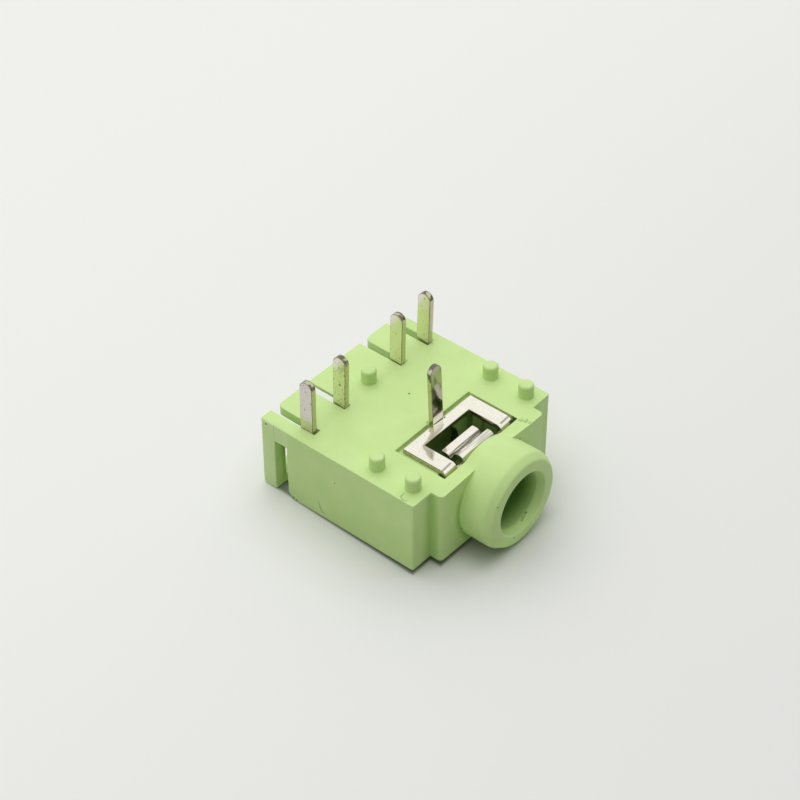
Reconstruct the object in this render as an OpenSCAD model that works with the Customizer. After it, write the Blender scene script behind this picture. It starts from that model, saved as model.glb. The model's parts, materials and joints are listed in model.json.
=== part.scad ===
// Board-mount stereo audio jack for a 3.5 mm plug, with five pins and two break switches.
// It lies on its closed face, pins up. The origin is the centre of the bush mouth, on the plug axis:
// X runs across the jack, Y runs into it, and Z points out of the face that meets the board.

/* [Housing] */
// Width of the moulded body
body_w = 12; // [11.6:0.1:14]
// Depth of the body, from its front face to the open rear
body_d = 11.1; // [10.8:0.1:13]
// Height of the body, from the closed face to the board face
body_h = 4.86; // [4.7:0.02:6]
// Height of the plug axis above the closed face
axis_h = 2.48; // [2.4:0.01:2.6]
// Thickness of each side wall
side_wall = 0.8; // [0.7:0.05:1]
// Thickness of the plate on the closed side
closed_t = 0.6; // [0.4:0.05:0.6]
// Thickness of the plate on the board side
board_t = 0.6; // [0.5:0.05:0.7]
// Radius on the upright corners of the body
corner_r = 0.15; // [0.05:0.05:0.3]
// Width of the block that carries the bush
block_w = 9; // [7:0.1:10]
// How far the block stands out of the front face
block_out = 0.76; // [0.4:0.02:1.2]
// Radius on the upright corners of the block
block_r = 0.3; // [0.05:0.05:0.35]
// Sideways place of the posts, the chamber and the contacts in it
inside_x = 0.08; // [-0.1:0.02:0.1]

/* [Bush] */
// Outside diameter of the bush
bush_d = 6; // [5.6:0.1:7]
// Distance from the bush mouth back to the body's front face
bush_len = 2.9; // [2.4:0.1:5]
// Depth of the chamfer on the bush's front edge, measured inwards
edge_in = 0.3; // [0.1:0.05:0.5]
// Length of that chamfer along the bush
edge_l = 0.5; // [0.2:0.05:0.7]
// How far the bush's outside tapers in where it runs back over the block
saddle_drop = 0.2; // [0.05:0.05:0.4]
// Diameter of the plug bore
bore_d = 3.6; // [3.55:0.05:3.7]
// Diameter of the bore at its mouth
mouth_d = 4.05; // [3.8:0.05:4.4]
// Depth of the taper from the mouth to the bore
lead_in = 0.5; // [0.2:0.05:0.8]

/* [Sleeve pocket] */
// Width of the shallow recess that the sleeve contact lies in
recess_w = 6.4; // [6:0.1:7]
// Length of the recess
recess_l = 3.5; // [3.3:0.1:4]
// Distance from the front face to the recess
recess_setback = 0.12; // [0:0.02:0.3]
// Width of the deep pocket under the recess
pocket_w = 5.2; // [4.8:0.1:5.6]
// Width of the ledge behind the deep pocket
rear_ledge = 0.52; // [0.4:0.02:0.7]
// Thickness of the bulkhead behind the pocket
bulkhead_t = 0.6; // [0.4:0.05:0.8]
// Clearance between the bulkhead's ends and the ring spring's leaf
leaf_clear = 0.1; // [0.05:0.01:0.2]
// Length of the opening from the pocket to each spring bay
bay_window = 1.1; // [0.9:0.05:1.4]

/* [Rear openings] */
// Length of the pin slots, from the open rear
slot_l = 3.12; // [2.8:0.02:3.4]
// Width of the two pin slots on the tip side
tip_slot_w = 0.5; // [0.42:0.02:0.7]
// Gap in front of the tip spring's pin in its slot
tip_slot_lead = 0.12; // [0.04:0.02:0.2]
// Clearance round a pin in its slot on the ring side
slot_clear = 0.04; // [0.02:0.01:0.1]
// Radius at the entry of the pin slots
slot_entry = 0.4; // [0.2:0.05:0.6]
// Chamfer on the board edges that pins lean over
lean_relief = 0.2; // [0.16:0.02:0.3]
// Chamfer under the edges of the plate between the inner pins
plate_relief = 0.42; // [0.2:0.02:0.5]
// Width of the finger at the rear of each side wall
finger_w = 1; // [0.7:0.05:1.3]
// Width of the gap in front of the finger
finger_gap = 0.93; // [0.6:0.01:1.1]
// Height of the bridge that carries the finger
bridge_h = 1.18; // [0.9:0.02:1.6]
// Chamfer at the foot of the wall and radius at the foot of the finger
foot_relief = 0.35; // [0.1:0.05:0.5]

/* [Locating posts] */
// Diameter of the locating posts
post_d = 0.9; // [0.7:0.02:1.1]
// Height of the posts above the board face
post_h = 0.88; // [0.5:0.01:1.2]
// Radius on the top of the posts
post_edge = 0.15; // [0.05:0.05:0.3]
// Spacing of the four front posts across the jack
post_pitch_x = 9.9; // [9:0.1:10.6]
// Spacing of the four front posts along the jack
post_pitch_y = 2.55; // [2:0.05:3]
// Distance from the front face to the first pair of posts
post_setback = 0.95; // [0.6:0.05:1.3]
// Distance from the front face to the rear post
rear_post_y = 8.52; // [8:0.02:9]
// Distance of the rear post to the right of the other posts' middle
rear_post_x = 0.2; // [-0.5:0.02:0.5]

/* [Pins] */
// Width of the solder pins
pin_w = 0.9; // [0.7:0.05:1.1]
// Length of the four rear pins above the board face
pin_out = 3.4; // [2.8:0.05:4.5]
// Sideways lean of the tip spring's pin, in degrees
tip_lean = 0.5; // [0.5:0.5:5]
// Sideways lean of the ring spring's pin, in degrees
ring_lean = 2; // [0.5:0.5:6]
// Sideways lean of the two switch pins, in degrees
switch_lean = 1.5; // [0.5:0.5:5]

/* [Springs and switch blades] */
// Thickness of their sheet
sheet_t = 0.35; // [0.25:0.01:0.36]
// Inner radius of their bends
bend_r = 0.2; // [0.1:0.02:0.22]
// Height of the spring strips
leaf_h = 2.1; // [1.6:0.1:2.2]
// Height of the top edge of the spring strips above the plug axis
leaf_top = 0.6; // [0.4:0.05:0.62]
// Distance of the tip switch blade from the middle of the jack
tip_switch_x = 2.3; // [2.25:0.05:2.6]
// Distance of the ring switch blade from the middle of the jack
ring_switch_x = 2.6; // [2.4:0.05:2.7]
// Depth at which the tip spring meets the plug
tip_point_y = 11.6; // [11.2:0.1:11.8]
// Depth at which the ring spring meets the plug
ring_point_y = 9.2; // [8.8:0.1:9.3]
// Distance of the springs' bends from the plug axis with no plug in
rest_reach = 1.2; // [1:0.05:1.4]
// Gap between a spring's hairpin and the front of its bay
hairpin_gap = 0.25; // [0.1:0.05:0.4]
// Length of the straight run before a spring's end meets its blade
flare_lead = 0.35; // [0.3:0.05:0.5]
// Width of the blades' tabs
tab_w = 0.6; // [0.4:0.05:0.8]
// Depth of the tabs below the plug axis
tab_drop = 1; // [0.6:0.1:1.4]
// Distance from the open rear to the tip blade's tab
tab_setback = 0.9; // [0.8:0.05:1.2]

/* [Contact seats] */
// Thickness of the ribs that hold the springs and blades
rib_t = 0.35; // [0.25:0.05:0.4]
// Clearance between a rib and what it holds
rib_gap = 0.05; // [0.02:0.01:0.08]
// Height of the ribs behind the springs' feet
foot_rib_h = 0.5; // [0.3:0.05:0.7]
// How far a spring's foot runs forward of its pin
foot_lead = 2.7; // [2:0.1:3]
// How far a blade's root runs forward of its pin
root_lead = 2.1; // [1.5:0.1:2.4]
// Height of the blades' roots above the spring strips
root_rise = 0.2; // [0.1:0.05:0.3]
// How far the root ribs run past both ends of the root
rib_over = 0.2; // [0.1:0.05:0.4]

/* [Sleeve contact] */
// Thickness of its sheet
sleeve_t = 0.3; // [0.2:0.02:0.32]
// Inner radius of its bends
sleeve_r = 0.1; // [0.06:0.02:0.12]
// Sideways place of the contact in its recess
sleeve_x = 0.1; // [-0.1:0.05:0.1]
// Gap between the plate and the sides and rear of the recess
plate_gap = 0.25; // [0.2:0.01:0.35]
// Gap in front of the legs
leg_gap = 0.2; // [0.1:0.01:0.3]
// Width of the two legs of the plate
leg_w = 1.02; // [0.8:0.02:1.1]
// Depth of the legs below the board face
leg_drop = 3; // [2:0.1:3.4]
// Clearance round the legs in their slots
leg_clear = 0.1; // [0.05:0.01:0.1]
// Width of the bar that joins the legs at the rear
rear_bar = 0.72; // [0.6:0.02:0.9]
// Clearance of the flange between the legs round the plug bore
arch_clear = 0.2; // [0.18:0.01:0.25]
// Depth of the slits between the tongue and the legs
slit_drop = 0.5; // [0.42:0.02:0.6]
// Least height of the flange over its arch, beside the tongue
flange_min = 0.2; // [0.1:0.05:0.3]
// Width of the tongue
tongue_w = 2.75; // [2.2:0.05:3]
// Length of the tongue's flat top, behind the flange
tongue_top = 0.43; // [0.42:0.01:0.5]
// Distance from the flange to the low point of the tongue
tongue_low = 0.7; // [0.66:0.02:0.8]
// Distance from the flange to the upper bend behind the low point
tongue_back = 1.08; // [1:0.02:1.2]
// Distance from the flange to the end of the tongue
tongue_l = 1.48; // [1.4:0.02:1.6]
// Depth of the low point below the plate
tongue_dip = 0.73; // [0.6:0.01:0.8]
// Height of the tongue's end above its low point
tongue_rise = 0.36; // [0.3:0.02:0.5]
// Length of the sleeve pin above the board face
sleeve_pin_out = 3.95; // [3:0.05:5]
// Backward lean of the sleeve pin, in degrees
sleeve_lean = 3; // [0:0.5:5]
// Width of the relief cuts beside the sleeve pin
pin_relief = 0.15; // [0.1:0.01:0.3]

/* [Hidden] */
$fn = 64;
plastic = [0.74, 0.87, 0.52];
metal = [0.83, 0.82, 0.77];

// Cutters run this far past the face they open
past = 1;

// Facets in each bend of a folded strip
bend_steps = 8;

// Planes of the housing
body_front = bush_len;
body_rear = body_front + body_d;
block_front = body_front - block_out;
z_closed = -axis_h;
z_board = body_h - axis_h;
z_floor = z_closed + closed_t;
z_roof = z_board - board_t;
wall_x = body_w/2 - side_wall;
bore_r = bore_d/2;

// Sleeve pocket, bulkhead, spring bays and contact chamber, front to rear
recess_y0 = body_front + recess_setback;
recess_y1 = recess_y0 + recess_l;
pocket_y1 = recess_y1 - rear_ledge;
chamber_y0 = pocket_y1 + bulkhead_t;
bay_y0 = pocket_y1 - bay_window;
ledge_z = z_board - sleeve_t;

// Outlines of the sleeve plate
plate_x = recess_w/2 - plate_gap;
plate_y0 = recess_y0 + leg_gap;
plate_y1 = recess_y1 - plate_gap;
window_x = plate_x - leg_w;
leg_foot_z = z_board - leg_drop;
arch_r = bore_r + arch_clear;
arch_side_z = sqrt(pow(arch_r, 2) - pow(tongue_w/2, 2));
flange_z = max(z_board - slit_drop, arch_side_z + flange_min);

// Slots and pins at the rear
slot_y = body_rear - slot_l;
pin_y1 = slot_y + pin_w;
ring_slot_w = sheet_t + 2*slot_clear;
finger_y = body_rear - finger_w;
gap_y = finger_y - finger_gap;

// Feet of the springs and roots of the switch blades
foot_front = slot_y - foot_lead;
root_front = slot_y - root_lead;
root_z = leaf_top + root_rise;

// Spring paths: the base lies on the side wall and the hairpin turns in the front of the bay
base_x = wall_x - sheet_t/2;
base_rear = gap_y - rib_gap;
hairpin_x = base_x - 2*bend_r - sheet_t;
hairpin_y = bay_y0 + hairpin_gap + sheet_t/2;
tip_tab_y = body_rear - tab_setback;
ring_tab_y = slot_y;
tip_end_x = tip_switch_x + sheet_t;
ring_end_x = ring_switch_x + sheet_t;

// Ends of the bulkhead, clear of the ring spring's leaf where it passes
ring_slope = (rest_reach - hairpin_x)/(ring_point_y - hairpin_y);
ring_leaf_x = hairpin_x + ring_slope*(chamber_y0 - hairpin_y);
bulkhead_x = ring_leaf_x - sheet_t/2*sqrt(1 + pow(ring_slope, 2)) - leaf_clear;

// Box from three ranges
module span(x, y, z) {
    translate([x[0], y[0], z[0]])
        cube([x[1] - x[0], y[1] - y[0], z[1] - z[0]]);
}

// Places its children on the right, and mirrored on the left
module both_sides() {
    for (side = [0, 1])
        mirror([side, 0, 0])
            children();
}

// Turns a flat shape drawn in Y and Z into a solid that is t thick, centred on x
module upright(x, t) {
    translate([x - t/2, 0, 0])
        rotate([90, 0, 90])
            linear_extrude(t)
                children();
}

// Turns a flat shape drawn in X and Z into a solid that is t thick, centred on y
module facing(y, t) {
    translate([0, y + t/2, 0])
        rotate([90, 0, 0])
            linear_extrude(t)
                children();
}

// Rectangle centred on X with round corners
module rounded_rect(w, d, r) {
    translate([r - w/2, 0])
        square([w - 2*r, d]);
    translate([-w/2, r])
        square([w, d - 2*r]);
    for (x = [-1, 1], y = [r, d - r])
        translate([x*(w/2 - r), y])
            circle(r);
}

// Directions and bends of a strip that is folded along a list of points
function heading(a, b) = atan2(b[1] - a[1], b[0] - a[0]);
function normal(a) = [-sin(a), cos(a)];
function wrap(a) = a > 180 ? a - 360 : (a < -180 ? a + 360 : a);
function turn(p, i) = wrap(heading(p[i], p[i + 1]) - heading(p[i - 1], p[i]));
function is_end(p, i) = i == 0 || i == len(p) - 1;

// Point beside the strip's middle line, part of the way round the bend at point i
function bend_point(p, i, rc, part, off) =
    let (bend = turn(p, i))
    let (hand = bend > 0 ? 1 : -1)
    let (way = heading(p[i - 1], p[i]))
    let (start = p[i] - rc*tan(abs(bend)/2)*[cos(way), sin(way)])
    let (centre = start + hand*rc*normal(way))
    centre + (off - hand*rc)*normal(way + bend*part);

// Point beside either end of the strip
function end_point(p, i, off) =
    let (way = i == 0 ? heading(p[0], p[1]) : heading(p[i - 1], p[i]))
    p[i] + off*normal(way);

// One edge of the strip, at a distance off from its middle line
function strip_edge(p, rc, off) = [
    for (i = [0 : len(p) - 1])
        for (k = [0 : is_end(p, i) ? 0 : bend_steps])
            is_end(p, i) ? end_point(p, i, off) : bend_point(p, i, rc, k/bend_steps, off)
];
function reverse(list) = [for (i = [len(list) - 1 : -1 : 0]) list[i]];

// Outline of a strip of sheet, t thick, folded along points with bends of one inner radius
module folded_strip(points, t, r) {
    rc = r + t/2;
    polygon(concat(strip_edge(points, rc, t/2), reverse(strip_edge(points, rc, -t/2))));
}

// Outline of a solder pin with a round end, from z0 up to top, with its left edge at u0
module pin_outline(u0, z0, top) {
    translate([u0, z0])
        square([pin_w, top - pin_w/2 - z0]);
    translate([u0 + pin_w/2, top - pin_w/2])
        circle(pin_w/2);
}

// Solder pin in the plane of a side wall, from z0 up, leaning sideways above the board face
module side_pin(x, z0, lean) {
    top = z_board + pin_out;
    knee = z_board + sheet_t/2;
    end = top + sheet_t;
    intersection() {
        facing(slot_y + pin_w/2, 2*pin_w)
            folded_strip([[x, z0], [x, knee], [x + (end - knee)*tan(lean), end]], sheet_t, bend_r);
        upright(x, 2*pin_w)
            pin_outline(slot_y, z0, top);
    }
}

// Body with the block that carries the bush
module body_block() {
    translate([0, 0, z_closed])
        linear_extrude(body_h) {
            translate([0, body_front])
                rounded_rect(body_w, body_d, corner_r);
            translate([0, block_front])
                rounded_rect(block_w, block_out + 2*block_r, block_r);
        }
}

// Bush with a chamfered front edge, tapering in over the block as it runs back to the sleeve recess
module bush() {
    r = bush_d/2;
    rotate([-90, 0, 0])
        rotate_extrude()
            polygon([
                [0, 0], [r - edge_in, 0], [r, edge_l], [r, block_front],
                [r - saddle_drop, recess_y0], [0, recess_y0]
            ]);
}

// Plug bore with its tapered mouth, cut through the bulkhead as well
module plug_bore() {
    rotate([-90, 0, 0])
        rotate_extrude()
            polygon([
                [0, -past], [mouth_d/2, -past], [mouth_d/2, 0], [bore_r, lead_in],
                [bore_r, chamber_y0 + past], [0, chamber_y0 + past]
            ]);
}

// Outline of the chamfer on a board edge at u, where a pin leans over it
module lean_chamfer(u) {
    polygon([
        [u - slot_clear, z_board - lean_relief - slot_clear],
        [u + lean_relief + slot_clear, z_board + slot_clear], [u - slot_clear, z_board + slot_clear]
    ]);
}

// Recess for the sleeve plate, with the deep pocket and the leg slots under it
module sleeve_pocket() {
    leg_x = plate_x + leg_clear;
    leg_y1 = plate_y0 + sleeve_t + sleeve_r + leg_clear;
    span([-recess_w/2, recess_w/2], [recess_y0, recess_y1], [ledge_z, z_board + past]);
    span([-pocket_w/2, pocket_w/2], [recess_y0, pocket_y1], [z_floor, z_board]);
    span([sleeve_x - leg_x, sleeve_x + leg_x], [recess_y0, leg_y1], [leg_foot_z - leg_clear, z_board]);
    upright(sleeve_x, pin_w + 2*slot_clear)
        lean_chamfer(recess_y1);
}

// Ribs of one pair of contacts: one behind the spring's foot and two at the blade's root
module contact_ribs(switch_x) {
    foot_x = wall_x - sheet_t - rib_gap;
    root = sheet_t/2 + rib_gap;
    rib_y = [root_front - rib_over, pin_y1 + rib_over];
    rib_z = [root_z, z_roof + rib_t];
    span([foot_x - rib_t, foot_x], [foot_front, pin_y1], [z_floor - rib_t, z_floor + foot_rib_h]);
    span([switch_x - root - rib_t, switch_x - root], rib_y, rib_z);
    span([switch_x + root, switch_x + root + rib_t], rib_y, rib_z);
}

// Chamber behind the bulkhead, open at the rear, with a bay for each spring's hairpin
module contact_chamber() {
    difference() {
        union() {
            span([-wall_x, wall_x], [chamber_y0, body_rear + past], [z_floor, z_roof]);
            span([-wall_x, wall_x], [bay_y0, pocket_y1], [z_floor, z_roof]);
            both_sides()
                span([bulkhead_x, wall_x], [bay_y0, chamber_y0], [z_floor, z_roof]);
        }
        contact_ribs(ring_switch_x);
        mirror([1, 0, 0])
            contact_ribs(tip_switch_x);
    }
}

// Slot for a pin, from x0 to x1 and from y0 to the open rear
module pin_slot(x0, x1, y0) {
    span([x0, x1], [y0, body_rear + past], [z_roof - rib_t, z_board + past]);
}

// Round corner at the rear end of a board plate, to the right of x
module round_entry(x) {
    translate([x, body_rear - slot_entry, z_roof - rib_t])
        linear_extrude(board_t + rib_t + past)
            difference() {
                square([slot_entry, slot_entry + past]);
                translate([slot_entry, 0])
                    circle(slot_entry);
            }
}

// Chamfer under the edge of the middle plate, beside a switch blade
module blade_relief(x, hand) {
    translate([x, slot_y, z_roof])
        rotate([90, 0, 180])
            mirror([hand > 0 ? 1 : 0, 0, 0])
                linear_extrude(slot_l + past)
                    polygon([
                        [-slot_clear, -slot_clear], [plate_relief, -slot_clear], [-slot_clear, plate_relief]
                    ]);
}

// Four pin slots in the board plate with the shapes at their edges
module pin_slots() {
    tip_inner = tip_switch_x + sheet_t/2 + slot_clear - tip_slot_w;
    ring_inner = ring_switch_x - ring_slot_w/2;
    pin_slot(-wall_x, tip_slot_w - wall_x, slot_y - tip_slot_lead);
    pin_slot(-tip_inner - tip_slot_w, -tip_inner, slot_y);
    pin_slot(ring_inner, ring_inner + ring_slot_w, slot_y);
    pin_slot(wall_x - ring_slot_w, wall_x, slot_y);
    round_entry(tip_slot_w - wall_x);
    round_entry(ring_inner + ring_slot_w);
    blade_relief(-tip_inner, 1);
    blade_relief(ring_inner, -1);
    facing(slot_y + (pin_w + slot_clear)/2, pin_w + slot_clear) {
        lean_chamfer(ring_inner + ring_slot_w);
        lean_chamfer(wall_x);
    }
}

// Gap in a side wall that leaves a finger at the rear, with relieved feet
module finger_gaps() {
    r = foot_relief;
    both_sides() {
        span([wall_x, body_w/2 + past], [gap_y, finger_y], [z_closed - past, z_board - bridge_h]);
        upright(body_w/2, 2*side_wall) {
            translate([gap_y, z_closed])
                polygon([[-r, 0], [0, r], [r, r], [r, -past], [-r, -past]]);
            translate([body_rear - r, z_closed])
                difference() {
                    translate([0, -past])
                        square([r + past, r + past]);
                    translate([0, r])
                        circle(r);
                }
        }
    }
}

// Locating post with a round top
module post(x, y) {
    r = post_d/2;
    top = post_h + board_t/2;
    translate([x, y, z_board - board_t/2])
        rotate_extrude() {
            square([r - post_edge, top]);
            square([r, top - post_edge]);
            translate([r - post_edge, top - post_edge])
                intersection() {
                    circle(post_edge);
                    square(post_edge);
                }
        }
}

module housing() {
    color(plastic) {
        difference() {
            union() {
                body_block();
                bush();
            }
            plug_bore();
            sleeve_pocket();
            translate([inside_x, 0, 0]) {
                contact_chamber();
                pin_slots();
                finger_gaps();
            }
        }
        translate([inside_x, 0, 0]) {
            for (x = [-1, 1], y = [0, post_pitch_y])
                post(x*post_pitch_x/2, body_front + post_setback + y);
            post(rear_post_x, body_front + rear_post_y);
        }
    }
}

// One leg of the sleeve plate, bent down in front
module sleeve_leg() {
    z = z_board - sleeve_t/2;
    y = plate_y0 + sleeve_t/2;
    upright(window_x + leg_w/2, leg_w)
        folded_strip([[plate_y1 - rear_bar/2, z], [y, z], [y, leg_foot_z]], sleeve_t, sleeve_r);
}

// Tongue that rises from the front flange and dips in a V to press on the plug
module sleeve_tongue() {
    z = z_board - sleeve_t/2;
    y = plate_y0 + sleeve_t/2;
    low_z = z - tongue_dip;
    end_z = low_z + tongue_rise;
    upright(0, tongue_w)
        folded_strip([
            [y, 0], [y, z], [y + tongue_top, z], [y + tongue_low, low_z],
            [y + tongue_back, end_z], [y + tongue_l, end_z]
        ], sleeve_t, sleeve_r);
}

// Pin bent up from the rear bar of the sleeve plate, leaning back
module sleeve_pin() {
    z = z_board - sleeve_t/2;
    y = recess_y1 - slot_clear - sleeve_t/2;
    top = z_board + sleeve_pin_out;
    end = top + sleeve_t;
    intersection() {
        upright(0, 2*pin_w)
            folded_strip([
                [plate_y1 - rear_bar/2, z], [y, z], [y + (end - z)*tan(sleeve_lean), end]
            ], sleeve_t, sleeve_r);
        facing(recess_y1, recess_l)
            pin_outline(-pin_w/2, ledge_z - past, top);
    }
}

module sleeve_contact() {
    flange_x = window_x + leg_w/2;
    color(metal)
        translate([sleeve_x, 0, 0]) {
            difference() {
                union() {
                    both_sides()
                        sleeve_leg();
                    span([-flange_x, flange_x], [plate_y0, plate_y0 + sleeve_t], [0, flange_z]);
                    sleeve_tongue();
                    span([-plate_x, plate_x], [plate_y1 - rear_bar, plate_y1], [ledge_z, z_board]);
                }
                translate([-sleeve_x, plate_y0 - past, 0])
                    rotate([-90, 0, 0])
                        cylinder(r = arch_r, h = sleeve_t + sleeve_r + past);
                for (x = [-pin_w/2 - pin_relief, pin_w/2])
                    span([x, x + pin_relief], [plate_y1 - pin_relief, plate_y1 + past],
                        [ledge_z - past, z_board + past]);
            }
            sleeve_pin();
        }
}

// Spring on the right-hand wall: base with its pin and foot, hairpin, leaf, bend and flared end
module spring(point_y, tab_y, end_x, lean) {
    path = [
        [base_x, base_rear], [base_x, hairpin_y], [hairpin_x, hairpin_y],
        [rest_reach, point_y], [end_x, tab_y - flare_lead], [end_x, tab_y + tab_w]
    ];
    leaf_mid = leaf_top - leaf_h/2;
    translate([0, 0, leaf_top - leaf_h])
        linear_extrude(leaf_h)
            folded_strip(path, sheet_t, bend_r);
    span([wall_x - sheet_t, wall_x], [foot_front + rib_gap, pin_y1], [z_floor, leaf_mid]);
    side_pin(base_x, leaf_mid, lean);
}

// Flat switch blade: root between its ribs, pin, and a tab that the spring's end rests against
module switch_blade(x, tab_y) {
    root_top = z_roof - rib_gap;
    upright(x, sheet_t) {
        translate([root_front, root_z])
            square([max(pin_y1, tab_y + tab_w) - root_front, root_top - root_z]);
        translate([tab_y, -tab_drop])
            square([tab_w, root_top + tab_drop]);
    }
    side_pin(x, root_z, switch_lean);
}

module tip_spring() {
    color(metal)
        translate([inside_x, 0, 0])
            mirror([1, 0, 0])
                spring(tip_point_y, tip_tab_y, tip_end_x, -tip_lean);
}

module tip_switch() {
    color(metal)
        translate([inside_x, 0, 0])
            switch_blade(-tip_switch_x, tip_tab_y);
}

module ring_spring() {
    color(metal)
        translate([inside_x, 0, 0])
            spring(ring_point_y, ring_tab_y, ring_end_x, ring_lean);
}

module ring_switch() {
    color(metal)
        translate([inside_x, 0, 0])
            switch_blade(ring_switch_x, ring_tab_y);
}

housing();
sleeve_contact();
tip_spring();
tip_switch();
ring_spring();
ring_switch();
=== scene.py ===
import json
import math
from functools import reduce

import bmesh
import bpy
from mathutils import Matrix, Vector


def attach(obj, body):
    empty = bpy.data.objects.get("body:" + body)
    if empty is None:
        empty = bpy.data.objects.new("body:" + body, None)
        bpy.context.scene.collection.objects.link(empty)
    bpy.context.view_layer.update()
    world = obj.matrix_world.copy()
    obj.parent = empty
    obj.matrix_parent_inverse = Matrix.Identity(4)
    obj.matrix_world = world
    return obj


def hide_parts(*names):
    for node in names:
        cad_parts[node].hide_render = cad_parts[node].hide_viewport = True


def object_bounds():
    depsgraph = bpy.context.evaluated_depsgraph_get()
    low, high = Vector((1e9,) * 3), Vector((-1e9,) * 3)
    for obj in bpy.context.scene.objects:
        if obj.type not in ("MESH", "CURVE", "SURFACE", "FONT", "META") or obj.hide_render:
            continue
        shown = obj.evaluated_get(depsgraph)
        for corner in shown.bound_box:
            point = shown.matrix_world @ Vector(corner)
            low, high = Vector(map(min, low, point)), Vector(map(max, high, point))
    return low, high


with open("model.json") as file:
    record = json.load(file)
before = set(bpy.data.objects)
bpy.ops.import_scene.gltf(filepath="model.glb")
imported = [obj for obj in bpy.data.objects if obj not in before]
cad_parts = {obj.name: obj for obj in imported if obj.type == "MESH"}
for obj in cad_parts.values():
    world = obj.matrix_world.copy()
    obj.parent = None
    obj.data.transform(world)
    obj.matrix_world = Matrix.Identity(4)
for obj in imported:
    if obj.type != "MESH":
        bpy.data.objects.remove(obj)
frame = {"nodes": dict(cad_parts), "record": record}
cad_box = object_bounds()


# Housing: the one-piece body with its bush, posts, pin slots and rear fingers.
# It is injection moulded in satin lime-green plastic, so each edge carries a small radius,
# and the skin shows faint flow marks, a few dark specks and the scars of the mould.

# Sizes and places are in millimetres, and mm turns them into metres.
mm = 0.001
mounts = {mount["name"]: mount for mount in frame["record"]["mounts"]}
body_half = cad_box[1][0] / mm
rear_face = cad_box[1][1] / mm
board_face = mounts["board_seat"]["pos_m"][2] / mm
closed_face = -2.48
left_side = -body_half
body_front = 2.9
block_front = 2.14
block_half = 4.5
bush_r = mounts["bush_outside"]["dims"]["r_mm"]
bore_r = mounts["plug_bore"]["dims"]["r_mm"]
mouth_r = bore_r + 0.225
saddle_half = 2.1
recess_front = 3.02
bulkhead_front = 6.0
bulkhead_rear = bulkhead_front + 0.6
bulkhead_end = 2.5
finger_start = 12.07
finger_end = 13.0
gap_top = 1.2
chamber_x = 0.08
rib_half = 5.2
rib_end = rear_face - 0.4
rib_top = -2.0

edge_r = 0.05
edge_steps = 4
bush_edge_r = 0.12
bush_lip = 0.6
bush_wall = 0.5
saddle_edge_r = 0.3
close_by = 0.01
weld_gap = 0.002 * mm
flat_angle = math.radians(1)
edge_angle = math.radians(24)
smooth_angle = math.radians(35)

lime = (0.58, 0.79, 0.30, 1)
light_lime = (0.62, 0.82, 0.33, 1)
pale_lime = (0.82, 0.94, 0.60, 1)
# Painted light, bounced from the floor, on the foot of the bush's ring.
ring_light_lime = (0.69, 0.96, 0.34, 1)
# Painted shade in the body, which is also the colour of the darker marks.
deep_lime = (0.26, 0.47, 0.10, 1)
# Painted shade in the bore.
bore_shade_lime = (0.15, 0.31, 0.05, 1)
# Real dark specks, and painted shade in the gap at the recess's corner.
speck_and_gap_shade_black = (0.04, 0.07, 0.02, 1)
# Painted shade in the hole through the bulkhead and in the deep chamber.
hole_shade_black = (0.03, 0.06, 0.015, 1)

# Each scar is a place on the board face, a radius and a height.
gate_scars = ((3.22, 2.82, 0.17, 0.11), (3.34, 2.58, 0.18, 0.12), (3.36, 2.32, 0.13, 0.08))
hook_points = [(x, y, board_face) for x, y in ((-5.52, 3.95), (-5.78, 3.97), (-5.92, 3.74), (-5.87, 3.49))]
side_scratches = (
    ((left_side, 9.81, -1.50), (left_side, 9.41, -2.18)),
    ((left_side, 9.70, -1.85), (left_side, 9.52, -2.15)),
)
seam_ends = ((2.2, recess_front, board_face), (3.2, recess_front, board_face))
sliver_ends = ((0.40, 0.37, -1.81), (0.88, 0.44, -1.59))
dark_specks = (
    ((0.90, 8.97, board_face), 0.08),
    ((left_side, 13.58, 2.15), 0.09),
    ((-2.31, 0.01, 1.40), 0.07),
    ((-0.75, 0.0, -2.05), 0.06),
    ((left_side, 8.53, 0.70), 0.05),
    ((2.30, block_front, 1.96), 0.09),
    ((-2.76, 2.10, -1.16), 0.08),
    ((left_side, 11.70, -2.36), 0.10),
    ((left_side, 11.45, -2.40), 0.08),
    (sliver_ends[1], 0.06),
)
# Box of the painted shade in the dark gap at the recess's right front corner.
gap_shade_x = (3.05, 3.10, 3.22, 3.28)
gap_shade_y = (2.98, 3.01, 3.30, 3.50)
gap_shade_depth = 0.08
mark_width = 0.05
mark_relief = 0.03
sliver_width = 0.09
line_reach = 0.035
finger_step = 0.02
outer_skin = 0.05
# Reaches of the painted highlights on the outer edges and on the bore's rim.
edge_highlight_reach = 0.07
rim_highlight_reach = 0.08
rim_fade_x = (-0.3, 0.8)

# Depths, places and heights at which the painted shade, and the ring foot's painted light, come and go.
wall_shade = (0.35, 1.1)
chamber_shade = (bulkhead_rear - 0.05, bulkhead_rear + 0.05, 7.0, 10.0)
hole_shade = (bulkhead_front + 0.02, bulkhead_front + 0.1, bulkhead_rear, bulkhead_rear + 0.1)
bore_shade = (0.25, 1.6, 2.6, 3.4)
corner_shade = 0.9
corner_heights = (board_face - 0.18, board_face - 0.03)
crease_shade = (bush_r - 0.06, bush_r - 0.02, bush_r, bush_r + 0.5)
crease_heights = (0.8, 1.8)
ring_depths = (0.3, 0.6)
ring_heights = (-2.2, -1.0)


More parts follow.
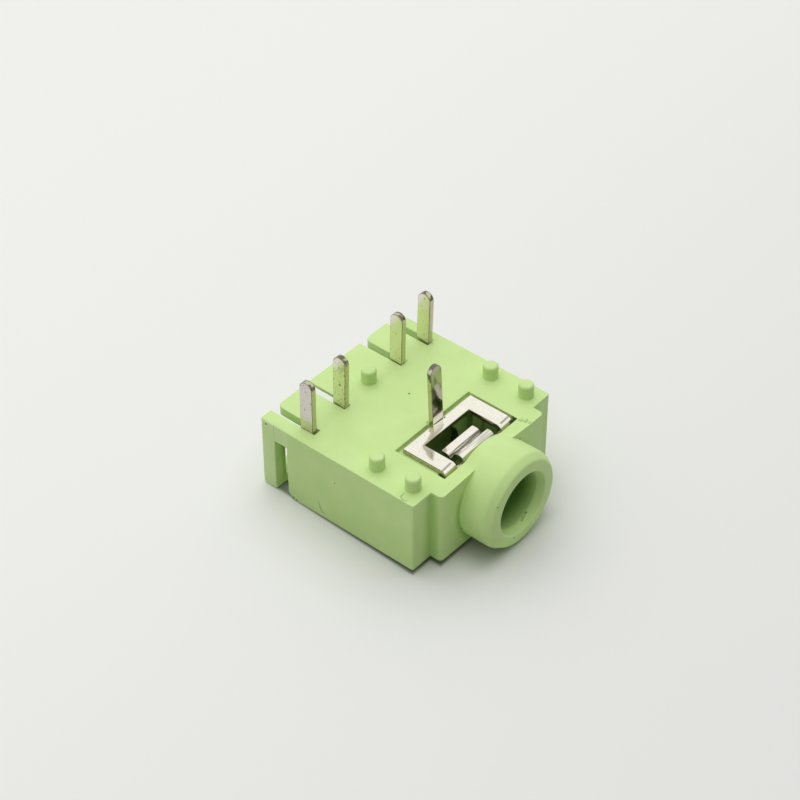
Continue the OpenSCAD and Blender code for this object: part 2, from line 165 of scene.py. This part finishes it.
def skin_of(node, name):
    """Copies a CAD node as one closed skin whose flat faces are whole."""
    bpy.ops.object.select_all(action="DESELECT")
    piece = bpy.data.objects.new(name, frame["nodes"][node].data.copy())
    bpy.context.collection.objects.link(piece)
    bpy.context.view_layer.objects.active = piece
    piece.select_set(True)
    piece.data.materials.clear()
    bpy.ops.mesh.customdata_custom_splitnormals_clear()
    bpy.ops.object.mode_set(mode="EDIT")
    bpy.ops.mesh.select_mode(type="EDGE")
    bpy.ops.mesh.select_all(action="SELECT")
    bpy.ops.mesh.remove_doubles(threshold=weld_gap)
    bpy.ops.mesh.dissolve_limited(angle_limit=flat_angle)
    bpy.ops.object.mode_set(mode="OBJECT")
    return piece


def round_edges(piece, radius_at, widest, steps, material=-1):
    """Rounds each edge that is sharper than a facet of a curve, by the radius for its middle."""
    skin = bmesh.new()
    skin.from_mesh(piece.data)
    weight = skin.edges.layers.float.new("bevel_weight_edge")
    for edge in skin.edges:
        if edge.calc_face_angle(0) > edge_angle:
            middle = (edge.verts[0].co + edge.verts[1].co) / 2 / mm
            edge[weight] = radius_at(*middle) / widest
    skin.to_mesh(piece.data)
    skin.free()
    rounding = piece.modifiers.new("rounding", "BEVEL")
    rounding.limit_method = "WEIGHT"
    rounding.width = widest * mm
    rounding.segments = steps
    rounding.use_clamp_overlap = False
    rounding.loop_slide = False
    rounding.material = material
    bpy.ops.object.modifier_apply(modifier="rounding")
    bpy.ops.object.mode_set(mode="EDIT")
    bpy.ops.mesh.select_all(action="SELECT")
    bpy.ops.mesh.remove_doubles(threshold=weld_gap)
    bpy.ops.object.mode_set(mode="OBJECT")
    bpy.ops.object.shade_smooth_by_angle(angle=smooth_angle)


def housing_radius(x, y, z):
    """Radius of the edge at a place on the housing, in millimetres."""
    from_axis = math.hypot(x, z)
    at_rib_end = abs(abs(x - chamber_x) - rib_half) < close_by and y > rib_end and z < rib_top
    on_saddle = (
        abs(z - board_face) < close_by
        and block_front - close_by < y < recess_front + close_by
        and abs(x) < saddle_half
    )
    on_bush = y < bush_lip and from_axis > bush_r - bush_wall
    at_bush_root = from_axis < bush_r + edge_r and abs(y - block_front) < edge_r
    if at_rib_end:
        return 0
    if on_saddle:
        return saddle_edge_r
    if on_bush:
        return bush_edge_r
    if at_bush_root:
        return 0
    return edge_r


def add_lump(piece, x, y, radius, height):
    """Joins a low round lump to the board face of a piece."""
    ball_r = (radius ** 2 + height ** 2) / (2 * height)
    centre = Vector((x, y, board_face + height - ball_r)) * mm
    foot = Vector((x, y, board_face - 0.02)) * mm
    upwards = (0, 0, 1)
    cut_gap = 0.0001 * mm
    bpy.ops.object.select_all(action="DESELECT")
    bpy.ops.mesh.primitive_uv_sphere_add(segments=48, ring_count=96, radius=ball_r * mm, location=centre)
    bpy.ops.object.transform_apply()
    bpy.ops.object.mode_set(mode="EDIT")
    bpy.ops.mesh.select_all(action="SELECT")
    bpy.ops.mesh.bisect(plane_co=foot, plane_no=upwards, use_fill=True, clear_inner=True, threshold=cut_gap)
    bpy.ops.object.mode_set(mode="OBJECT")
    bpy.ops.object.shade_smooth_by_angle(angle=smooth_angle)
    bpy.context.view_layer.objects.active = piece
    piece.select_set(True)
    bpy.ops.object.join()


class Shade:
    """Output of a shader node. Arithmetic on it adds Math nodes to the same tree."""

    def __init__(self, tree, socket=None):
        self.tree = tree
        self.socket = socket

    def node(self, kind, settings, sockets, output=0):
        """Adds a node with its settings and the values or links of its sockets."""
        made = self.tree.nodes.new("ShaderNode" + kind)
        for name, value in settings.items():
            setattr(made, name, value)
        for name, value in sockets.items():
            if isinstance(value, Shade):
                self.tree.links.new(value.socket, made.inputs[name])
            else:
                made.inputs[name].default_value = value
        return Shade(self.tree, made.outputs[output] if made.outputs else None)

    def math(self, operation, *values):
        return self.node("Math", {"operation": operation}, dict(enumerate(values)))

    def __abs__(self):
        return self.math("ABSOLUTE", self)

    def __add__(self, other):
        return self.math("ADD", self, other)

    __radd__ = __add__

    def __sub__(self, other):
        return self.math("SUBTRACT", self, other)

    def __rsub__(self, other):
        return self.math("SUBTRACT", other, self)

    def __mul__(self, other):
        return self.math("MULTIPLY", self, other)

    __rmul__ = __mul__


def vector_math(place, operation, sockets, output=0):
    return place.node("VectorMath", {"operation": operation}, sockets, output)


def new_material(name):
    """Makes a material with an empty tree, and gives it and the place on the piece."""
    material = bpy.data.materials.new(name)
    material.use_nodes = True
    material.node_tree.nodes.clear()
    metres = Shade(material.node_tree).node("TexCoord", {}, {}, "Object")
    return material, vector_math(metres, "SCALE", {0: metres, "Scale": 1 / mm})


def finish_material(bsdf):
    bsdf.node("OutputMaterial", {}, {"Surface": bsdf})


def axis(place, letter):
    return place.node("SeparateXYZ", {}, {"Vector": place}, letter)


def axes(place):
    return [axis(place, letter) for letter in "XYZ"]


def noise(place, per_mm, detail):
    return place.node("TexNoise", {}, {"Vector": place, "Scale": per_mm, "Detail": detail})


def blend(mask, under, over):
    """Mixes two colours. A Mix node has its colours at these sockets, after those for numbers."""
    colour_a, colour_b, colour_out = 6, 7, 2
    return mask.node("Mix", {"data_type": "RGBA"}, {0: mask, colour_a: under, colour_b: over}, colour_out)


def bump_of(relief):
    return relief.node("Bump", {}, {"Strength": 1.0, "Distance": mm, "Height": relief})


def strongest(masks):
    """The largest of several masks at each place."""
    return reduce(lambda one, other: one.math("MAXIMUM", one, other), masks)


def smallest(values):
    """The least of several values at each place."""
    return reduce(lambda one, other: one.math("MINIMUM", one, other), values)


def apart(one, other):
    """Distance that two offsets at right angles make together."""
    squares = one * one + other * other
    return squares.math("SQRT", squares)


def rise(value, low, high):
    """Smooth step from 0 at low to 1 at high."""
    sockets = {"Value": value, "From Min": low, "From Max": high}
    return value.node("MapRange", {"interpolation_type": "SMOOTHSTEP"}, sockets)


def fall(value, low, high):
    """Smooth step from 1 at low to 0 at high."""
    return 1 - rise(value, low, high)


def band(value, start, full, fade, end):
    """1 between full and fade, and 0 before start and after end."""
    return rise(value, start, full) * fall(value, fade, end)


def near(distance, reach):
    """1 on a face or line, fading to 0 at the reach."""
    return fall(distance, 0.0, reach)


def on_line(value, line, reach):
    """1 where a value is the line's, fading to 0 at the reach on both sides."""
    return near(abs(value - line), reach)


def spot(place, centre, radius):
    """1 in a round spot on the surface, fading to 0 at its rim."""
    offset = vector_math(place, "SUBTRACT", {0: place, 1: centre})
    away = vector_math(place, "LENGTH", {0: offset}, "Value")
    return fall(away, 0.5 * radius, radius)


def streak(place, start, end, width):
    """1 along a thin straight mark on the surface, fading to 0 at its sides."""
    run = Vector(end) - Vector(start)
    from_start = vector_math(place, "SUBTRACT", {0: place, 1: start})
    along = vector_math(place, "DOT_PRODUCT", {0: from_start, 1: run / run.length_squared}, "Value")
    held = smallest([strongest([along, 0.0]), 1.0])
    nearest = vector_math(place, "SCALE", {0: tuple(run), "Scale": held})
    offset = vector_math(place, "SUBTRACT", {0: from_start, 1: nearest})
    away = vector_math(place, "LENGTH", {0: offset}, "Value")
    return fall(away, 0.25 * width, width)


def depth_inside(x, y, z):
    """Depth of a place below the nearest of the body's flat outer faces."""
    across = abs(x)
    beside_block = rise(across, block_half - edge_r, block_half - close_by)
    front = block_front + (body_front - block_front) * beside_block
    return smallest([body_half - across, y - front, rear_face - y, z - closed_face, board_face - z])


def shaded(place, colour):
    """Paints shade into the chamber, bore, hole and creases, and light onto the foot of the bush's ring."""
    x, y, z = axes(place)
    from_axis = apart(x, z)
    inside = rise(depth_inside(x, y, z), *wall_shade)
    lit_bulkhead = on_line(y, bulkhead_front, 0.03) * fall(x, bulkhead_end - 0.1, bulkhead_end)
    # Painted shade, deeper inside the body, weaker on the bulkhead's face.
    colour = blend(0.85 * inside * (1 - 0.6 * lit_bulkhead), colour, deep_lime)

    # The hole and the far chamber are painted near black as shade.
    chamber = inside * band(y, *chamber_shade)
    hole = band(y, *hole_shade) * fall(from_axis, bore_r + 0.03, bore_r + 0.1)
    colour = blend(strongest([hole, 0.9 * chamber]), colour, hole_shade_black)

    # Painted shade in the corner beside the block.
    corner = near(apart(abs(x) - block_half, y - body_front), corner_shade) * fall(z, *corner_heights)
    colour = blend(0.45 * corner, colour, deep_lime)

    # Painted shade in the bore.
    bore = band(y, *bore_shade) * fall(from_axis, bore_r + 0.05, bore_r + 0.15)
    colour = blend(bore, colour, bore_shade_lime)

    # Painted shade in the crease where the bush meets the block.
    crease = band(from_axis, *crease_shade) * on_line(y, block_front, edge_r) * fall(z, *crease_heights)
    colour = blend(0.6 * crease, colour, deep_lime)

    # Painted light on the foot of the bush's ring, where the floor throws light up.
    lit_ring_foot = fall(y, *ring_depths) * fall(z, *ring_heights)
    return blend(lit_ring_foot, colour, ring_light_lime)


def edge_highlights(place, ragged):
    """Finds the outer edges and the bore's rim for a painted highlight, stronger on the rim's left."""
    x, y, z = axes(place)
    across = abs(x)
    side = near(body_half - across, edge_highlight_reach)
    top = near(board_face - z, edge_highlight_reach)
    bottom = near(z - closed_face, edge_highlight_reach)
    front = near(y - body_front, edge_highlight_reach) * rise(across, block_half, block_half + edge_r)
    edges = strongest([side * top * ragged, side * bottom, side * front, front * bottom])
    rim = on_line(apart(x, z), mouth_r, rim_highlight_reach) * near(y, rim_highlight_reach)
    return strongest([0.6 * edges, rim * (0.9 - 0.6 * rise(x, *rim_fade_x))])


def moulded_plastic():
    """Satin plastic with flow marks, painted shade, light and edge highlights, scratches and specks."""
    material, place = new_material("lime_plastic")
    x, y, z = axes(place)
    mottle = noise(place, per_mm=0.6, detail=3.0)
    grain = noise(place, per_mm=22.0, detail=3.0)
    ragged = rise(noise(place, per_mm=5.0, detail=3.0), 0.35, 0.6)
    colour = shaded(place, blend(rise(mottle, 0.3, 0.7), lime, light_lime))

    outer = rise(abs(x), body_half - 2 * outer_skin, body_half - outer_skin)
    finger = rise(y, finger_start - finger_step, finger_start + finger_step) * outer
    over_gap = outer * rise(z, gap_top, gap_top + edge_r)
    # Painted highlight on the mould step where the finger starts, and painted shade on the step where it
    # ends.
    step_highlight = on_line(y, finger_start, line_reach) * over_gap
    step_shade = on_line(y, finger_end, line_reach) * over_gap
    seam = streak(place, *seam_ends, mark_width) * ragged
    # Painted highlights on the edges and the step, with the finger's paler face and a pale seam.
    pale_marks_and_highlights = strongest([edge_highlights(place, ragged), 0.22 * finger, 0.6 * step_highlight, 0.5 * seam])
    colour = blend(pale_marks_and_highlights, colour, pale_lime)

    hook = strongest([streak(place, *ends, mark_width) for ends in zip(hook_points, hook_points[1:])])
    scratch = strongest([streak(place, *ends, mark_width) for ends in side_scratches])
    sliver = streak(place, *sliver_ends, sliver_width) * ragged
    # A flash hook, scratches and a sliver, with the painted shade on the finger's end step.
    dark_marks_and_step_shade = strongest([0.45 * hook, 0.45 * scratch, 0.9 * sliver, 0.5 * step_shade])
    colour = blend(dark_marks_and_step_shade, colour, deep_lime)

    specks = strongest([spot(place, centre, radius) for centre, radius in dark_specks])
    # Painted shade in the gap at the recess's right front corner.
    gap_shade = band(x, *gap_shade_x) * band(y, *gap_shade_y) * fall(z, board_face - gap_shade_depth, board_face)
    colour = blend(0.9 * strongest([specks, gap_shade]), colour, speck_and_gap_shade_black)

    relief = 0.001 * grain - finger_step * finger + mark_relief * hook - mark_relief * scratch
    finish_material(place.node("BsdfPrincipled", {}, {
        "Base Color": colour, "Roughness": 0.38 + 0.12 * grain, "Normal": bump_of(relief), "IOR": 1.45,
    }))
    return material


housing = skin_of("housing", "moulded_housing")
round_edges(housing, housing_radius, saddle_edge_r, edge_steps)
for scar in gate_scars:
    add_lump(housing, *scar)
housing.data.materials.append(moulded_plastic())
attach(housing, "root")
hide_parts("housing")


# Sleeve contact: the plate in the recess with its two legs, tongue and pin.
# It is stamped from brass sheet, folded and tin plated, and drops in from the board side.
# Its plating is darker in the bends and has painted shade in the tongue's valley; its cut edges show bare
# brass.

sleeve_sheet = 0.3
sleeve_x = 0.1
tongue_half = 1.375
tongue_end = (4.8, 4.9)
tongue_top = 2.1
notch_half = 0.61
notch_y = (6.05, 6.28)
notch_top = 2.475
plate_top = 2.4
sheet_edge_r = 0.03
sheet_edge_steps = 3
tongue_corner_r = 0.12

tin_tones = ((0.76, 0.72, 0.60, 1), (0.88, 0.85, 0.76, 1))
brass_tones = ((0.42, 0.39, 0.27, 1), (0.66, 0.63, 0.50, 1))
darkened_edge_tones = ((0.20, 0.18, 0.12, 1), (0.34, 0.31, 0.22, 1))
# Colour of the pits, the dark marks and the painted shade on the sheet.
shade_and_mark_brown = (0.09, 0.08, 0.045, 1)

bend_marks = (((-2.95, 3.50, 2.36), (-2.05, 3.56, 2.37)), ((2.30, 3.48, 2.36), (3.10, 3.52, 2.36)))
dark_streak_ends = ((-2.05, 4.89, board_face), (-2.48, 4.47, board_face))
root_ends = ((-0.23, 6.18, 2.44), (0.46, 6.17, 2.42))
bend_width = 0.1
dark_streak_width = 0.09
root_width = 0.07
valley_y = (3.86, 3.94, 4.34, 4.42)
valley_heights = (board_face - 0.06, board_face - 0.01)
bar_y = (3.72, 3.86)
bar_heights = (2.0, 2.1)
stalk_heights = (2.7, 3.4)
dotted_x = (-4.0, -3.0, -1.5, 0.0)
tip_heights = (5.35, 5.5)


def sheet_metal(name, tones, rough, wave, darkening=None, lean=0.0):
    """Two-tone sheet with pits, waves and given dark marks, partly painted shade. Lean tips upright faces
    down.
    """
    material, place = new_material(name)
    mottle = noise(place, per_mm=2.5, detail=4.0)
    grain = noise(place, per_mm=30.0, detail=3.0)
    swell = noise(place, per_mm=0.9, detail=1.0)
    marks = 0.55 * rise(noise(place, per_mm=8.0, detail=2.0), 0.69, 0.74)
    if darkening:
        marks = strongest([marks, darkening(place)])
    colour = blend(marks, blend(mottle, *tones), shade_and_mark_brown)
    relief = wave * swell + 0.0006 * grain + lean * axis(place, "Z")
    finish_material(place.node("BsdfPrincipled", {}, {
        "Base Color": colour, "Metallic": 1.0, "Roughness": rough + 0.14 * mottle, "Normal": bump_of(relief),
    }))
    return material


def sleeve_shade_and_marks(place):
    """Painted shade in the tongue's valley and bar; dark lines at the bends, plate and pin root; a darker
    pin.
    """
    x, y, z = axes(place)
    drawn_out = vector_math(place, "MULTIPLY", {0: place, 1: (0.6, 9.0, 9.0)})
    streaks = rise(noise(drawn_out, per_mm=1.0, detail=2.0), 0.35, 0.62)
    on_tongue = fall(abs(x - sleeve_x), tongue_half + 0.005, tongue_half + 0.045)
    # Painted shade, streaked, in the tongue's valley.
    valley = band(y, *valley_y) * fall(z, *valley_heights) * on_tongue
    bends = strongest([streak(place, *ends, bend_width) for ends in bend_marks])
    dark_streak = streak(place, *dark_streak_ends, dark_streak_width)
    root = streak(place, *root_ends, root_width)
    # Painted shade, streaked, on the bar's rear roll.
    bar = streaks * on_tongue * fall(y, *bar_y) * rise(z, *bar_heights)
    stalk = rise(z, *stalk_heights)
    return strongest([
        valley * (0.25 + 0.7 * streaks), 0.6 * bends, 0.35 * dark_streak, root * streaks, 0.35 * bar, 0.5 * stalk,
    ])


def pin_dots(place):
    """Small dark dots, with more of them on the inner left pin."""
    worn = 0.06 * band(axis(place, "X"), *dotted_x)
    return rise(noise(place, per_mm=8.0, detail=2.0) + worn, 0.66, 0.71)


def tip_darkening(place):
    """Dark patches on the pins' tips, and the dots."""
    patches = rise(noise(place, per_mm=2.6, detail=2.0), 0.42, 0.54)
    tips = rise(axis(place, "Z"), *tip_heights) * patches
    return strongest([0.85 * tips, 0.6 * pin_dots(place)])


tin_plate = sheet_metal("tin_plate", tin_tones, rough=0.08, wave=0.05, darkening=sleeve_shade_and_marks)
cut_edge = sheet_metal("cut_brass", brass_tones, rough=0.12, wave=0.02, darkening=tip_darkening)
darkened_edge = sheet_metal("darkened_edge", darkened_edge_tones, rough=0.25, wave=0.0)


def sheet_radius(x, y, z):
    """Radius of the edge at a place on a contact, in millimetres."""
    across = abs(x - sleeve_x)
    if across < notch_half and notch_y[0] < y < notch_y[1] and z < notch_top:
        return 0
    if abs(across - tongue_half) < close_by and tongue_end[0] < y < tongue_end[1] and z < tongue_top:
        return tongue_corner_r
    return sheet_edge_r


def mark_cuts(piece, thickness):
    """Gives the second material to the faces where the punch went through the sheet."""
    skin = bmesh.new()
    skin.from_mesh(piece.data)
    for face in skin.faces:
        flat = face.normal.z > 0.9 and face.calc_center_median().z < plate_top * mm
        through = any(abs(edge.calc_length() / mm - thickness) < close_by for edge in face.edges)
        face.material_index = int(through and not flat)
    skin.to_mesh(piece.data)
    skin.free()


def stamped(node, name, thickness, plate):
    """Dresses a contact in its plate, with bare cut edges and darker rounded edges."""
    piece = skin_of(node, name)
    finishes = (plate, cut_edge, darkened_edge)
    for material in finishes:
        piece.data.materials.append(material)
    mark_cuts(piece, thickness)
    round_edges(piece, sheet_radius, tongue_corner_r, sheet_edge_steps, finishes.index(darkened_edge))
    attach(piece, "root")
    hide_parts(node)


stamped("sleeve_contact", "stamped_sleeve", sleeve_sheet, tin_plate)


# Springs and switch blades: the four contacts in the chamber, whose pins stand in the rear slots.
# Each is stamped from brass sheet, bent and tin plated, and slides in from the open rear.
# The outer left one is darker and rougher.

contact_sheet = 0.35
dull_tones = ((0.60, 0.56, 0.50, 1), (0.72, 0.68, 0.62, 1))
pin_tones = ((0.74, 0.70, 0.57, 1), (0.84, 0.80, 0.70, 1))
pin_speck = (-2.36, 11.28, 3.90)
pin_speck_r = 0.09


def pin_soil(place):
    """The dots, and one large speck on the inner left pin."""
    return strongest([0.9 * spot(place, pin_speck, pin_speck_r), 0.6 * pin_dots(place)])


dull_plate = sheet_metal("dull_plate", dull_tones, rough=0.16, wave=0.012, darkening=pin_dots)
pin_plate = sheet_metal("pin_plate", pin_tones, rough=0.10, wave=0.012, darkening=pin_soil, lean=0.09)
stamped("tip_spring", "stamped_tip_spring", contact_sheet, dull_plate)
for contact in ("tip_switch", "ring_spring", "ring_switch"):
    stamped(contact, "stamped_" + contact, contact_sheet, pin_plate)


# Floor: the pale sheet of paper that the jack lies on.
# The bush and the rear of the closed face touch it, so it slopes by about two degrees.

floor_size = 4000 * mm
front_rest = Vector((0, 0.5, -bush_r)) * mm
rear_rest = Vector((0, rear_face, closed_face)) * mm
floor_tilt = math.atan2(rear_rest.z - front_rest.z, rear_rest.y - front_rest.y)
# Paper tones for a painted falloff of the light, dimmer near the camera and paler far off.
near_paper = (0.78, 0.78, 0.755, 1)
far_paper = (0.92, 0.915, 0.89, 1)
lighting_paper = (0.66, 0.68, 0.63, 1)
shadow_green = (0.10, 0.12, 0.08, 1)
paper_y = (-40.0, 50.0)
shadow_in = 0.25
shadow_out = 0.05
bush_shadow_half = bush_r + 0.9
bush_shadow_fade = 2.0
bush_shadow_y = (-0.6, 0.9, block_front, block_front + 0.6)


def seen_rays(start):
    """1 for the rays that show a surface to the camera, straight or through a reflection or a lens."""
    kinds = ("Is Camera Ray", "Is Glossy Ray", "Is Transmission Ray")
    return strongest([start.node("LightPath", {}, {}, kind) for kind in kinds])


def pale_paper():
    """Matt paper with painted light falloff, paler far off, and painted shadow where the jack keeps the
    light off.
    """
    material, place = new_material("pale_paper")
    across = abs(axis(place, "X"))
    y = axis(place, "Y")
    under = strongest([
        rise(smallest([half - across, y - front]), -shadow_out, shadow_in)
        for half, front in ((body_half, body_front), (block_half, block_front))
    ])
    under = under * fall(y, rear_face - shadow_in, rear_face + shadow_out)
    by_bush = rise(bush_shadow_half - across, 0.0, bush_shadow_fade) * band(y, *bush_shadow_y)
    # Painted falloff of the light across the paper.
    shown = blend(rise(y, *paper_y), near_paper, far_paper)
    # Painted shadow under the body and beside the bush.
    shown = blend(strongest([0.75 * under, 0.45 * by_bush]), shown, shadow_green)
    finish_material(place.node("BsdfPrincipled", {}, {
        "Base Color": blend(seen_rays(place), lighting_paper, shown), "Roughness": 0.9,
        "Specular IOR Level": 0.2,
    }))
    return material


bpy.ops.object.select_all(action="DESELECT")
bpy.ops.mesh.primitive_plane_add(size=floor_size, location=front_rest, rotation=(floor_tilt, 0, 0))
floor = bpy.context.object
floor.name = "floor"
bpy.ops.object.transform_apply()
floor.data.materials.append(pale_paper())


# Light: one broad lamp almost overhead, a little behind the jack as the camera sees it, and a weak sky.
# The camera and reflections see the sky as white, with a darker room low down to the camera's right.

lamp_strength = 1.19
lamp_spread = math.radians(80)
lamp_way = Vector((0.08, 0.11, 1))
sky_white = (0.99, 1.0, 1.0, 1)

bpy.ops.object.light_add(type="SUN")
lamp = bpy.context.object
lamp.data.energy = lamp_strength
lamp.data.angle = lamp_spread
lamp.rotation_euler = lamp_way.to_track_quat("Z", "Y").to_euler()
lamp.visible_glossy = False

world = bpy.data.worlds.new("studio")
bpy.context.scene.world = world
world.use_nodes = True
world.node_tree.nodes.clear()
sky = Shade(world.node_tree)
seen = seen_rays(sky)
way_x, way_y, way_z = axes(sky.node("TexCoord", {}, {}, "Generated"))
from_rear = 0.2 + 0.8 * rise(way_y, -0.75, 0.25)
from_right = 0.75 + 0.25 * rise(way_x, -0.6, 0.3)
from_above = rise(way_z, 0.0, 0.6)
lit = from_rear * from_right * from_above
room = rise(0.55 * way_x - 0.83 * way_y, 0.1, 0.6) * fall(way_z, 0.25, 0.5)
light = sky.node("Background", {}, {
    "Color": sky_white, "Strength": lit * (1 - seen) + (1.1 - 0.6 * room) * seen,
})
sky.node("OutputWorld", {}, {"Surface": light})


# Camera: at the angle and distance of the photograph, with a long lens.
# Its place and target come from the housing's corners as the photograph shows them.

camera_place = Vector((-74.24, -53.74, 88.55)) * mm
camera_target = Vector((2.137, 10.681, 0.08)) * mm
film_width = 36
focal_length = 104.15
nearest_seen = 1 * mm
farthest_seen = 20000 * mm

bpy.ops.object.camera_add(location=camera_place)
camera = bpy.context.object
camera.rotation_euler = (camera_target - camera_place).to_track_quat("-Z", "Y").to_euler()
camera.data.sensor_width = film_width
camera.data.lens = focal_length
camera.data.clip_start = nearest_seen
camera.data.clip_end = farthest_seen
bpy.context.scene.camera = camera
bpy.context.scene.view_settings.view_transform = "Standard"
